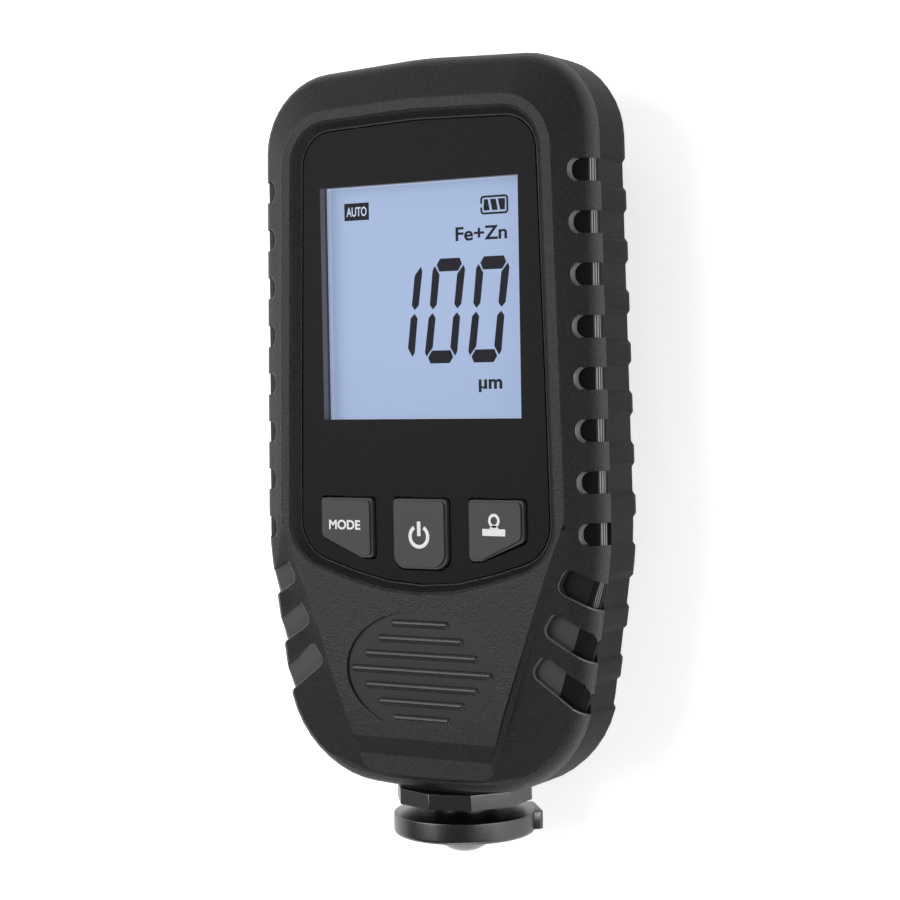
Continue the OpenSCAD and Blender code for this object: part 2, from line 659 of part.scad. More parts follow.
// Lead from the coil to its socket on the board, a tube swept in the middle plane
lead_path = [
    [foot_low + tip_in + coil_h + 0.1, 0], [barrel_in, 0], [barrel_in + 3, 0.4], [barrel_in + 5.5, 2.4],
    [barrel_in + 7, board_z + 1.2 - probe_z], [board_y0 - y_bot + 0.5, board_z + 1.5 - probe_z]];
module probe_lead() color("#a52a2a") translate([0, y_bot, probe_z])
    loft([for (k = [0 : len(lead_path) - 1])
        let (p = lead_path[k], a = lead_path[max(0, k - 1)], b = lead_path[min(len(lead_path) - 1, k + 1)],
             t = (b - a) / norm(b - a))
        [for (i = [0 : 7]) let (c = 45 * i)
            [lead_r * cos(c), p.x - t.y * lead_r * sin(-c), p.y + t.x * lead_r * sin(-c)]]]);

front_shell();
rear_shell();
front_panel();
display_window();
lcd_glass();
backlight();
zebra_strip();
lcd_holder();
main_board();
board_chips();
lead_socket();
tact_switches();
mode_key();
power_key();
zero_key();
case_screws();
board_screws();
battery_door();
battery_cells();
battery_contacts();
battery_springs();
probe_barrel();
barrel_cap();
probe_collar();
probe_plunger();
probe_tip();
probe_coil();
probe_spring();
probe_lead();
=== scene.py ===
import json
import math

import bmesh
import bpy
from mathutils import Matrix, Vector


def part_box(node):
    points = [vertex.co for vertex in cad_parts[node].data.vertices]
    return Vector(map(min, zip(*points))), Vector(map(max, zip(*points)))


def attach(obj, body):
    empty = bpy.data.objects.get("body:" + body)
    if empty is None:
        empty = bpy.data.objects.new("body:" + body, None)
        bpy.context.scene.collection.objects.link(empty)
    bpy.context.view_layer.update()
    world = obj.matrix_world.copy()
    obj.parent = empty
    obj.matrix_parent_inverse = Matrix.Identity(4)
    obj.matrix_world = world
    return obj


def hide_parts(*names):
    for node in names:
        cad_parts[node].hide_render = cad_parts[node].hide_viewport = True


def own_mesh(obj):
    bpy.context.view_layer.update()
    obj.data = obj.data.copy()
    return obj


bl_info = {
    "name": "Coating Thickness Gauge",
    "version": (1, 0, 0),
    "blender": (4, 5, 0),
    "location": "3D View > Sidebar > Gauge",
    "description": "Dresses the gauge's frame with finished pieces and sets up the stage",
    "category": "Object",
}

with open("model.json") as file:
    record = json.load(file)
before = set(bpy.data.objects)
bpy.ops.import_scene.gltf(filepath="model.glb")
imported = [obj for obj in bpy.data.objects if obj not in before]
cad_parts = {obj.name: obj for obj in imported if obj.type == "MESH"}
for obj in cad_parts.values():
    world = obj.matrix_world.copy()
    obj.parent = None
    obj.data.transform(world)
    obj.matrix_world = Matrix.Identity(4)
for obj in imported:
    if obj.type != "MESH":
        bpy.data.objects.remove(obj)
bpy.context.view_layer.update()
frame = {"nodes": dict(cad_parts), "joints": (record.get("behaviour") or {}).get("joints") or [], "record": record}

# Lengths are in millimetres, apart from the stage and the panel's sizes, which are in metres
MM = 0.001

# Levels that come from the frame
TOP_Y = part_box("front_shell")[1][1] / MM
FRONT_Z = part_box("front_shell")[1][2] / MM
LCD_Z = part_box("lcd_glass")[1][2] / MM
KEY_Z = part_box("power_key")[1][2] / MM
FOOT_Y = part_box("probe_plunger")[0][1] / MM
PROBE_Z = sum(p[2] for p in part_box("probe_tip")) / 2 / MM
SILL_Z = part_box("rear_shell")[1][2] / MM + 0.8

# Grip notches: heights of the straight ones, and (x, y, tilt, reach) of the slanted ones
NOTCH_HALF, SLANT_HALF = 1.6, 1.85
NOTCH_YS = [TOP_Y - 18.25 - 7.34 * k for k in range(8)]
SLANT_YS = [TOP_Y - 78.6 - 7.5 * k for k in range(3)]
SLANTS = [(28.43 - 1.15 * k, SLANT_YS[k], math.radians(28 + 4.5 * k), 5.7 + 1.5 * k)
          for k in range(3)]
GRIP_YS = NOTCH_YS + SLANT_YS

# Scallops below the notches: half width at the rim and at the floor, and depth
SCALLOP_RIM, SCALLOP_FLOOR, SCALLOP_DEPTH = 2.42, 1.8, 0.45

# Thumb rest: middle, half sizes of its floor and of the part with ribs
REST_Y = TOP_Y - 90.4
REST_FLOOR, REST_RIBS = (13.1, 9.2), (12.8, 8.9)

# Ribs of the thumb rest: level above which a face belongs to one, radius of the ends, and pitch
RIB_FROM_Z, RIB_R, RIB_PITCH = 24.63, 0.6, 2.35

# Finishes of the front shell, in the order of its material slots. The slope is painted shade, and the wall and the
# lip are painted light
SHELL = ["housing", "notch", "smooth", "slant", "rib", "wall", "lip", "slope", "recess"]
HOUSING, NOTCH, SMOOTH, SLANT, RIB, LIT_WALL, LIP_HIGHLIGHT, SHADED_SLOPE, RECESS = range(len(SHELL))
CUT = (NOTCH, SLANT, LIT_WALL, RECESS)

# Corner rounding of the keys and of their openings: offset and steps
KEY_CORNER = (0.6, 4)

# Finishes: a word stands for a value of GaugeLook, and grain is (size, bump height)
SPARK = (0.28, 0.17)
FINISHES = {
    "housing": dict(color="housing", rough=0.46, grain=SPARK, tone=0.48, shine=0.38),
    # The slope finish is the housing's plastic made darker and less shiny on the outer slopes and beside the lower
    # face: painted shade
    "slope": dict(color="slope", rough=0.48, grain=SPARK, tone=0.48, shine=0.24),
    "side": dict(color="side", rough=0.55, grain=(0.3, 0.012), shine=0.08),
    "smooth": dict(color="housing", rough=0.4, grain=(0.3, 0.01), shine=0.25),
    "rib": dict(color=(0.02, 0.02, 0.0202), rough=0.3, shine=0.4),
    # The wall finish, on the outward end walls of the straight notches, is ten times paler than the housing:
    # painted light
    "wall": dict(color=(0.2, 0.2, 0.202), rough=0.35),
    "recess": dict(color=(0.03, 0.03, 0.0302), rough=0.4, shine=0.2),
    # The lip finish, on the thin rounded strips along the notch rims, is paler than the housing: painted highlight
    "lip": dict(color=(0.1, 0.1, 0.102), rough=0.3, shine=0.5),
    # The notch and slant floors are dark, and ADDED paints highlight stripes and reflection onto them
    "notch": dict(color=(0.005, 0.005, 0.006), rough=0.5, shine=0.12),
    "slant": dict(color=(0.005, 0.005, 0.006), rough=0.5, shine=0.12),
    "panel": dict(color="panel", rough=0.45, grain=(0.25, 0.003), tone=0.05, shine=0.09),
    # The edge finish, on the walls of the display opening, is much paler than the panel: painted light
    "edge": dict(color=(0.13, 0.13, 0.135), rough=0.45),
    "key": dict(color="key", rough=0.42, grain=(0.22, 0.006), tone=0.06, shine=0.25),
    "white": dict(color=(0.85, 0.85, 0.85), rough=0.5, tone=0.02),
    "ink": dict(color=(0.004, 0.005, 0.012), rough=0.5, shine=0.1),
    "display": dict(color="display", rough=0.5, glow="glow", tone=0.01, shine=0.1),
    "display_line": dict(color=(0.55, 0.62, 0.8), rough=0.5, glow=0.5, tone=0.01, shine=0.1),
    "window": dict(color=(0.01, 0.01, 0.012), rough=0.2, alpha=0.05),
    "dark_metal": dict(color=(0.09, 0.09, 0.093), rough=0.32, metal=1.0, grain=(0.2, 0.004),
                       stretch=(1, 6, 1)),
    "steel": dict(color=(0.5, 0.51, 0.53), rough=0.3, metal=1.0, grain=(0.3, 0.003),
                  stretch=(1, 8, 1)),
    "tip": dict(color=(0.16, 0.162, 0.168), rough=0.16, metal=1.0, grain=(0.3, 0.001), tone=0.03),
    "diffuser": dict(color=(0.8, 0.83, 0.9), rough=0.5, tone=0.02),
    "pale": dict(color=(0.7, 0.7, 0.67), rough=0.5, tone=0.04),
    "elastomer": dict(color=(0.45, 0.14, 0.23), rough=0.6),
    "board": dict(color=(0.015, 0.14, 0.05), rough=0.35, grain=(0.6, 0.01)),
    "chip": dict(color=(0.015, 0.015, 0.015), rough=0.45, grain=(0.2, 0.01)),
    "cell": dict(color=(0.15, 0.19, 0.26), rough=0.3, metal=0.4, stretch=(8, 1, 8)),
    "copper": dict(color=(0.5, 0.2, 0.07), rough=0.35, metal=0.9),
    "lead": dict(color=(0.35, 0.03, 0.03), rough=0.5, grain=(0.5, 0.01)),
    "floor": dict(color=(0.9, 0.9, 0.9), rough=0.8, shine=0.0),
}
NOTCH_DARK = 0.004
# Painted highlight colour towards which the grips' outer slope is lightened near its edge
PAINTED_EDGE_HIGHLIGHT = (0.11, 0.11, 0.112, 1)
WHITE = (1, 1, 1, 1)

# Pieces inside the housing, with their finishes
INSIDE = {
    "backlight": "diffuser", "zebra_strip": "elastomer", "lcd_holder": "pale",
    "main_board": "board", "board_chips": "chip", "lead_socket": "pale",
    "tact_switches": "steel", "board_screws": "steel", "battery_cells": "cell",
    "battery_contacts": "steel", "battery_springs": "steel",
}

# Stage, in metres: height of the floor's wall, where the floor turns white and how fast, strength
# of the world's light, and each lamp's place, aim, size and power
FLOOR_WALL = 0.7
WHITE_FROM, WHITE_SLOPE = 0.35, 1.2
WORLD_LIGHT = 0.145
LAMPS = {
    "top": ((-0.12, 0.6, 0.42), (0, 0, 0.02), (0.5, 0.2), 0.55),
    "front": ((-0.36, 0.12, 0.65), (0, 0, 0.02), (0.5, 0.5), 3.4),
    "left": ((-0.6, 0.1, 0.16), (0, 0, 0.02), (0.16, 0.5), 0.35),
    "right": ((0.55, 0.0, 0.24), (0, 0, 0.02), (0.1, 0.4), 1.3),
    "foot": ((0.1, -0.55, 0.2), (0, -0.03, 0.02), (0.4, 0.12), 1),
}

# Camera: its angles, sensor and lens, then its target and how far it stands from it, in metres
TURN, RISE, ROLL = (math.radians(a) for a in (31, 1.9, -1.0))
SENSOR, LENS = 36, 83.2
TARGET = Vector((0.00505, 0.00195, 0.0236))
DISTANCE = 0.3036


class Sock:
    """A shader socket that takes part in plain arithmetic."""

    def __init__(self, tree, socket=None):
        self.tree, self.socket = tree, socket

    def make(self, kind, inputs=(), out=0, **settings):
        """A new node: its settings are set first, then the values or links of its sockets."""
        node = self.tree.nodes.new(kind)
        for key, value in settings.items():
            setattr(node, key, value)
        for key, value in dict(inputs).items():
            if isinstance(value, Sock):
                value.into(node.inputs[key])
            else:
                node.inputs[key].default_value = value
        return Sock(self.tree, node.outputs[out])

    def into(self, target):
        """Links this socket to an input."""
        self.tree.links.new(self.socket, target)

    def math(self, operation, other=0.0, **settings):
        return self.make("ShaderNodeMath", {0: self, 1: other}, operation=operation, **settings)

    def ramp(self, start, slope):
        """0 at start, going up to 1 above it, or below it where slope is negative."""
        return (self - start).math("MULTIPLY", slope, use_clamp=True)

    def tint(self, low, high):
        """A colour between low and high."""
        return self.make("ShaderNodeMix", {0: self, 6: low, 7: high}, out=2, data_type="RGBA")

    def noise(self, size):
        """Fine noise at the place that this socket gives."""
        return self.make("ShaderNodeTexNoise",
                         {"Vector": self, "Scale": 1 / (size * MM), "Detail": 2.0})

    def __add__(self, other):
        return self.math("ADD", other)

    def __sub__(self, other):
        return self.math("SUBTRACT", other)

    def __mul__(self, other):
        return self.math("MULTIPLY", other)

    def __rsub__(self, other):
        return self.make("ShaderNodeMath", {0: other, 1: self}, operation="SUBTRACT")

    __radd__, __rmul__ = __add__, __mul__

    def __gt__(self, other):
        return self.math("GREATER_THAN", other)

    def __lt__(self, other):
        return self.math("LESS_THAN", other)


def place_in(tree):
    """The place on the object, as a socket."""
    return Sock(tree).make("ShaderNodeTexCoord", out="Object")


def axes_in(tree):
    """The place on the object, as three sockets in mm."""
    place = place_in(tree)
    return [place.make("ShaderNodeSeparateXYZ", {0: place}, out=axis) * (1 / MM) for axis in "XYZ"]


def shader_in(mat):
    return mat.node_tree.nodes["Principled BSDF"]


def material(name, color, rough, metal=0.0, grain=(0.4, 0.004), tone=0.12, glow=0.0, alpha=1.0,
             shine=0.35, stretch=(1, 1, 1)):
    """One grained finish; tone is the swing of its colour, and stretch draws the grain out."""
    mat = bpy.data.materials.new(name)
    mat.use_nodes = True
    mat.diffuse_color = (*color, 1)
    shader = shader_in(mat)
    constants = {"Metallic": metal, "Alpha": alpha, "Specular IOR Level": shine}
    if glow:
        constants.update({"Emission Color": (*color, 1), "Emission Strength": glow})
    for key, value in constants.items():
        shader.inputs[key].default_value = value
    place = place_in(mat.node_tree)
    place = place.make("ShaderNodeMapping", {"Vector": place, "Scale": stretch})
    noise = place.noise(grain[0])
    low, high = ((*[c * (1 + k * tone) for c in color], 1) for k in (-2, 2))
    bump = {"Height": noise, "Distance": grain[1] * MM, "Strength": 1.0}
    noise.tint(low, high).into(shader.inputs["Base Color"])
    ((noise - 0.5) * 0.3 + rough).into(shader.inputs["Roughness"])
    place.make("ShaderNodeBump", bump).into(shader.inputs["Normal"])
    return mat


def painted_glint_stripes(z):
    """Painted highlight: fine bright stripes along the outer slope of a notch's floor, by height, standing in for
    the gleam off that slope.
    """
    low, high, turns, gap = 21.05, 21.62, 33.0, -0.3
    return (((z - low) * turns).math("SINE") > gap) * (z < high) * (z > low)


def glint_painted_floor(mat):
    """Floor of a straight notch: dark, with painted highlight stripes on its outer slope on the right side only.
    """
    glint = 0.36
    x, y, z = axes_in(mat.node_tree)
    shade = painted_glint_stripes(z) * (x > 0.0) * glint + NOTCH_DARK
    shade.into(shader_in(mat).inputs["Base Color"])


def reflection_painted_floor(mat):
    """Floor of a slanted notch, with painted reflection: pale on the left side. On the right side its inner half
    is grey, which is faint in the highest one, and that one has painted highlight stripes."""
    # pale, grey and faint are painted reflection in the floor's colour, and dim is the strength of its painted
    # highlight stripes
    highest_y, pale, grey_reflection, faint_reflection, dim_glint = -20.5, 0.09, 0.052, 0.01, 0.2
    x, y, z = axes_in(mat.node_tree)
    right, low = x > 0.0, y < highest_y
    inner_reflection = right * (x < y * 0.3375 + 33.1) * (low * grey_reflection + faint_reflection)
    glint_lines = right * (1 - low) * painted_glint_stripes(z) * dim_glint
    shade = inner_reflection + glint_lines + (1 - right) * pale + NOTCH_DARK
    shade.into(shader_in(mat).inputs["Base Color"])


def highlight_painted_slope(mat):
    """Paints a highlight on the grained slope, paler along the outer edge of the grips."""
    edge_z, slope = 22.6, -0.7
    target = shader_in(mat).inputs["Base Color"]
    plain = Sock(mat.node_tree, target.links[0].from_socket)
    highlight = axes_in(mat.node_tree)[2].ramp(edge_z, slope)
    (highlight * place_in(mat.node_tree).noise(SPARK[0])).tint(plain, PAINTED_EDGE_HIGHLIGHT).into(target)


# Painted marks added to some finishes: highlight stripes and reflection in the notch floors, and a highlight along
# the grips' edge
ADDED = {"notch": glint_painted_floor, "slant": reflection_painted_floor, "slope": highlight_painted_slope}


def finish(name):
    """The finish of that name, which is made when it is first asked for."""
    known = bpy.data.materials.get("gauge_" + name)
    if known:
        return known
    look = bpy.context.scene.gauge_look
    values = {key: getattr(look, value) if isinstance(value, str) else value
              for key, value in FINISHES[name].items()}
    mat = material("gauge_" + name, **values)
    if name in ADDED:
        ADDED[name](mat)
    return mat


def put(name, bm, mats):
    """Turns a bmesh into an object of the scene."""
    mesh = bpy.data.meshes.new(name)
    bm.to_mesh(mesh)
    bm.free()
    for mat in mats:
        mesh.materials.append(finish(mat))
    obj = bpy.data.objects.new(name, mesh)
    bpy.context.scene.collection.objects.link(obj)
    return obj


def add(name, bm, body, mats):
    """Turns a bmesh into a finished piece that rides on a body."""
    obj = put(name, bm, mats)
    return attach(obj, body)


def smooth(bm, sharp):
    """Smooths the faces between the edges that turn by sharp degrees or more."""
    for face in bm.faces:
        face.smooth = True
    for edge in bm.edges:
        shared = len(edge.link_faces) == 2
        edge.smooth = shared and edge.calc_face_angle(0) < math.radians(sharp)


def bevel(bm, edges, offset, steps, clamp=True):
    """Rounds edges off and gives the faces that this makes."""
    return bmesh.ops.bevel(bm, geom=edges, offset=offset * MM, affect="EDGES", segments=steps,
                           profile=0.5, clamp_overlap=clamp, material=-1)["faces"]


def verts_of(geom):
    return [v for v in geom if isinstance(v, bmesh.types.BMVert)]


def stand_in(node, bm, mats, sharp):
    """Lets a bmesh stand for a frame node, on the node's body."""
    smooth(bm, sharp)
    record = frame["record"]
    body = next(b for b, nodes in record["behaviour"]["bodies"].items() if node in nodes)
    obj = add(node + "_form", bm, body, mats)
    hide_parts(node)
    even = obj.modifiers.new("even", "WEIGHTED_NORMAL")
    even.keep_sharp = True
    return obj


def dressed(node, mats, edge=0.0, choose=None, sharp=28, rounds=(), shape=None):
    """A merged copy of a frame node with smooth faces and rounded edges, which stands for it.

    Each of rounds is (pick, offset, steps, mark). The edges that pick takes are rounded before
    the general edge, and a mark above 0 is the finish of the thin strips that this makes."""
    bm = bmesh.new()
    bm.from_mesh(frame["nodes"][node].data)
    bmesh.ops.remove_doubles(bm, verts=bm.verts, dist=2e-6)
    bmesh.ops.dissolve_limit(bm, angle_limit=math.radians(0.6), verts=bm.verts, edges=bm.edges)
    bmesh.ops.recalc_face_normals(bm, faces=bm.faces)
    if shape:
        shape(bm)
    kind = bm.faces.layers.int.new("kind")
    for pick, offset, steps, mark in rounds:
        edges = [e for e in bm.edges if len(e.link_faces) == 2 and pick(e)]
        for face in bevel(bm, edges, offset, steps, clamp=not mark):
            thin = face.calc_area() < 0.16 * MM * face.calc_perimeter()
            if thin:
                face[kind] = mark
    if edge:
        turn = math.radians(sharp)
        bevel(bm, [e for e in bm.edges if len(e.link_faces) == 2 and e.calc_face_angle(0) > turn],
              edge, 2)
    if choose:
        for face in bm.faces:
            face.material_index = face[kind] or choose(face)
    bm.faces.layers.int.remove(kind)
    return stand_in(node, bm, mats, sharp)


def turned_plunger():
    """The plunger, turned about the probe's axis: foot, shaft, shoulder and bores."""
    corner, corner_r = (10.1, 0.97), 0.7
    bend = [math.radians(18 * k) for k in range(6)]
    rim = [(corner[0] + corner_r * math.sin(a), corner[1] - corner_r * math.cos(a)) for a in bend]
    foot = [(4.58, 0.27), *rim, (10.8, 3.3), (10.72, 3.44), (10.55, 3.52), (6.95, 4.1)]
    shaft = [(4.95, 4.1), (4.95, 12.95), (5.9, 12.95), (5.9, 14.45)]
    bores = [(1.05, 14.45), (1.05, 12.8), (3.75, 12.8), (3.75, 2.6), (3.95, 2.6)]
    bm = bmesh.new()
    verts = [bm.verts.new(Vector((r, FOOT_Y + up, PROBE_Z)) * MM) for r, up in foot + shaft + bores]
    edges = [bm.edges.new(pair) for pair in zip(verts, verts[1:] + verts[:1])]
    bmesh.ops.spin(bm, geom=verts + edges, cent=(0, 0, PROBE_Z * MM), axis=(0, 1, 0),
                   angle=2 * math.pi, steps=96, use_merge=True)
    bmesh.ops.remove_doubles(bm, verts=bm.verts, dist=1e-6)
    bmesh.ops.recalc_face_normals(bm, faces=bm.faces)
    return bm


def foot_lug():
    """The flat lug on the wall of the foot, with rounded corners."""
    size, corner, edge, turn = (3.0, 2.75, 7.8, 1.0), 0.7, 0.15, 0.6
    bm = bmesh.new()
    bmesh.ops.create_cube(bm, size=MM, matrix=Matrix.Diagonal(size))
    corners = [e for e in bm.edges if all(v.co.x > 0 for v in e.verts)
               and abs(e.verts[0].co.y - e.verts[1].co.y) > MM]
    bevel(bm, corners, corner, 4, clamp=False)
    bevel(bm, [e for e in bm.edges if e.calc_face_angle(0) > turn], edge, 2, clamp=False)
    smooth(bm, math.degrees(turn))
    out = Matrix.Translation(Vector((10.0, 0, 0)) * MM)
    round_axis = Matrix.Rotation(math.radians(40), 4, "Y")
    level = Matrix.Translation(Vector((0, FOOT_Y + 2.1, PROBE_Z)) * MM)
    bmesh.ops.transform(bm, matrix=level @ round_axis @ out, verts=bm.verts)
    return bm


def collar_turn(bm):
    """Turns the collar about the probe's axis, so that its facets stand as they do on the gauge."""
    bmesh.ops.rotate(bm, cent=(0, 0, PROBE_Z * MM), verts=bm.verts,
                     matrix=Matrix.Rotation(math.radians(-15), 3, "Y"))


def wide_dome(bm):
    """Widens the dome of the tip below the foot, up to the radius of its seat."""
    widen, seat_r = 1.2, 4.6
    for v in bm.verts:
        x, y, z = v.co / MM
        r = math.hypot(x, z - PROBE_Z)
        if y < FOOT_Y + 0.01 and r > 0.01:
            k = min(widen, seat_r / r)
            v.co.x, v.co.z = k * x * MM, (PROBE_Z + k * (z - PROBE_Z)) * MM


def plates(name, outlines, z, body, mat, thick=0.03):
    """Thin plates from closed outlines, which print a mark on the face at height z."""
    bm = bmesh.new()
    for line in outlines:
        face = bm.faces.new([bm.verts.new(Vector((x, y, z)) * MM) for x, y in line])
        face.normal_update()
        if face.normal.z < 0:
            face.normal_flip()
        up = bmesh.ops.extrude_face_region(bm, geom=[face])["geom"]
        bmesh.ops.translate(bm, vec=(0, 0, thick * MM), verts=verts_of(up))
    bmesh.ops.recalc_face_normals(bm, faces=bm.faces)
    return add(name, bm, body, [mat])


def words(name, text, box, z, body, mat, bold=0.012):
    """Lettering fitted to box = (x0, y0, x1, y1) on the face at height z."""
    lift, half_thick = 0.02, 0.01
    curve = bpy.data.curves.new(name, "FONT")
    curve.body = text
    curve.offset = bold
    curve.extrude = half_thick
    temp = bpy.data.objects.new(name + "_curve", curve)
    bpy.context.scene.collection.objects.link(temp)
    bpy.context.view_layer.update()
    bm = bmesh.new()
    bm.from_mesh(temp.to_mesh())
    bpy.data.objects.remove(temp)
    lows = [min(v.co[k] for v in bm.verts) for k in (0, 1)]
    highs = [max(v.co[k] for v in bm.verts) for k in (0, 1)]
    for v in bm.verts:
        x, y = (box[k] + (v.co[k] - lows[k]) / (highs[k] - lows[k]) * (box[k + 2] - box[k])
                for k in (0, 1))
        v.co = Vector((x, y, z + lift + v.co.z)) * MM
    return add(name, bm, body, [mat])


def rect(x0, y0, x1, y1):
    """Outline of a rectangle."""
    return [(x0, y0), (x1, y0), (x1, y1), (x0, y1)]


def arc(cx, cy, r, stroke, a0, a1, stretch=1.0, steps=24):
    """Outlines of an open ring, from angle a0 to a1 in degrees."""
    def at(radius, k):
        a = math.radians(a0 + (a1 - a0) * k / steps)
        return cx + radius * math.cos(a), cy + stretch * radius * math.sin(a)
    return [[at(r, k), at(r, k + 1), at(r - stroke, k + 1), at(r - stroke, k)]
            for k in range(steps)]


def digit(cx, parts):
    """Outlines of the bars of a slanted display digit that are named in parts."""
    middle_y, slant = 22.35, 0.13
    bar = [(-2.15, 6.8), (-1.65, 7.7), (1.65, 7.7), (2.15, 6.8), (1.6, 5.8), (-1.6, 5.8)]
    post = [(1.52, 0.95), (2.1, 0.27), (2.7, 0.95), (2.78, 6.0), (2.45, 6.65), (1.52, 5.35)]
    flips = {"a": (bar, 1, 1), "b": (post, 1, 1), "c": (post, 1, -1),
             "d": (bar, 1, -1), "e": (post, -1, -1), "f": (post, -1, 1)}
    out = []
    for part in parts:
        shape, fx, fy = flips[part]
        out.append([(cx + fx * x + slant * fy * y, middle_y + fy * y) for x, y in shape])
    return out


def battery_sign():
    """Outlines of the battery sign: three slanted bars in a rounded frame with an open end."""
    low, high = 36.68, 38.3
    bars = ((9.8, 10.83, 10.52, 9.9), (11.24, 12.17, 11.86, 10.93), (12.58, 13.35, 13.4, 12.22))
    signs = [[(a, low), (b, low), (c, high), (d, high)] for a, b, c, d in bars]
    x0, y0, x1, y1, r, t = 9.28, 36.1, 13.93, 38.83, 0.55, 0.3
    signs += [rect(x0 + r, y1 - t, x1 - r, y1), rect(x0 + r, y0, x1 - r, y0 + t),
              rect(x1 - t, y0 + r, x1, y1 - r), rect(x0, y0 + r, x0 + t, y0 + 1.05),
              rect(x0, y1 - 1.15, x0 + t, y1 - r)]
    corners = ((x1 - r, y1 - r), (x0 + r, y1 - r), (x0 + r, y0 + r), (x1 - r, y0 + r))
    for k, (cx, cy) in enumerate(corners):
        signs += arc(cx, cy, r, t, 90 * k, 90 * k + 90, steps=6)
    return signs


def along(p, x, y, tilt):
    """A point of either side in a slanted notch's own axes: outwards along it, and across it."""
    a, b = abs(p.x) - x, p.y - y
    return a * math.cos(tilt) - b * math.sin(tilt), a * math.sin(tilt) + b * math.cos(tilt)


def crest_x(y):
    """Half width of the lower face at height y."""
    bend_y, bend_x = -26.2, 17.3
    return bend_x + (y - bend_y) * (0.4 if y > bend_y else 0.29)


def in_rest(pts, half):
    """Whether all the points lie on the thumb rest, within an ellipse of those half sizes."""
    return all((p.x / half[0]) ** 2 + ((p.y - REST_Y) / half[1]) ** 2 < 1 and p.z > 23
               for p in pts)


def shell_finish(face):
    """Which finish of the front shell a face takes, by where it lies and faces."""
    notch_x, end_x, outer_a, end_a, lower_y, flat = 23, 27, 2.2, 2.7, -5, 0.95
    pts, normal = [v.co / MM for v in face.verts], face.normal
    if in_rest(pts, REST_RIBS) and max(p.z for p in pts) > RIB_FROM_Z:
        return RIB
    if in_rest(pts, REST_FLOOR):
        return SMOOTH
    # Outward end walls of the straight notches take the pale wall finish: painted light
    end = abs(normal.z) < 0.3 and normal.x * pts[0].x > 0 and abs(normal.x) > 0.3
    for y in NOTCH_YS:
        if all(abs(p.y - y) < NOTCH_HALF + 0.04 and abs(p.x) > notch_x for p in pts):
            return LIT_WALL if end and max(abs(p.x) for p in pts) < end_x else NOTCH
    for x, y, tilt, reach in SLANTS:
        turned = [along(p, x, y, tilt) for p in pts]
        if all(abs(b) < SLANT_HALF + 0.3 and -reach - 0.5 < a < outer_a for a, b in turned):
            return RECESS if end and max(a for a, b in turned) < end_a - reach else SLANT
    # Faces beside the lower face or tilted away from the front take the darker slope copy of the housing: painted
    # shade
    beside = all(p.y < lower_y and abs(p.x) > crest_x(p.y) - 1.2 for p in pts)
    return SHADED_SLOPE if beside or normal.z < flat else HOUSING


def lit_display_wall(face):
    """1 on the walls of the display opening, which take the pale edge finish as painted light, 0 elsewhere."""
    c = face.calc_center_median() / MM
    return int(abs(face.normal.z) < 0.5 and abs(c.x) < 17.4 and 6 < c.y < 41.8)


def on_crest(edge):
    """The two lines that bound the crest of the rim and of the lower face."""
    pts = [v.co / MM for v in edge.verts]
    if min(p.z for p in pts) < 23.0 or not 0.12 < edge.calc_face_angle(0) < 0.9:
        return False
    flat = any(f.normal.z > 0.985 and f.calc_area() > 2e-5 for f in edge.link_faces)
    return flat and abs(pts[0].x + pts[1].x) / 2 < 25


def notch_lip(edge):
    """The rim at the inner end of a notch, and along the lower side of a slanted one."""
    kinds = [shell_finish(f) for f in edge.link_faces]
    pts = [v.co / MM for v in edge.verts]
    border = len({k in CUT for k in kinds}) == 2
    if not border or edge.calc_face_angle(0) < 0.4 or min(p.z for p in pts) < 20.3:
        return False
    lower = any(all(-2.1 < along(p, x, y, tilt)[1] < -1.5 for p in pts)
                for x, y, tilt, reach in SLANTS)
    return LIT_WALL in kinds or RECESS in kinds or (SLANT in kinds and lower)


def key_corner(edge):
    """An upright corner of a key, or of its opening."""
    a, b = (v.co / MM for v in edge.verts)
    upright = abs(a.x - b.x) < 0.01 and abs(a.y - b.y) < 0.01
    return upright and -20 < a.y < -3 and abs(a.x) < 18.5 and edge.calc_face_angle(0) > 0.4


def scallops(bm):
    """Carries the scallop below each grip notch from the side wall down over the taper."""
    low_z, rise, top_z, inner_x = 2.7, 7.4, 12.75, 15
    for y in GRIP_YS:
        for step in (-SCALLOP_RIM, -SCALLOP_FLOOR, SCALLOP_FLOOR, SCALLOP_RIM):
            outer = [f for f in bm.faces
                     if max(v.co.z for v in f.verts) < 13 * MM and abs(f.normal.x) > 0.2
                     and all(f.normal.x * v.co.x > 0 and abs(v.co.x) > inner_x * MM
                             for v in f.verts)]
            edges = {e for f in outer for e in f.edges}
            verts = {v for e in edges for v in e.verts}
            bmesh.ops.bisect_plane(bm, geom=outer + list(edges) + list(verts), dist=1e-7,
                                   plane_co=(0, (y + step) * MM, 0), plane_no=(0, 1, 0))
    for v in bm.verts:
        x, y, z = v.co / MM
        near = min(abs(y - k) for k in GRIP_YS)
        outside = any(f.normal.x * x > 0.2 * abs(x) for f in v.link_faces)
        if z < top_z and abs(x) > inner_x and near < SCALLOP_RIM - 0.02 and outside:
            across = min(1, (SCALLOP_RIM - near) / (SCALLOP_RIM - SCALLOP_FLOOR))
            upwards = min(1, max(0, (z - low_z) / rise))
            v.co.x -= math.copysign(SCALLOP_DEPTH * across * upwards * MM, x)


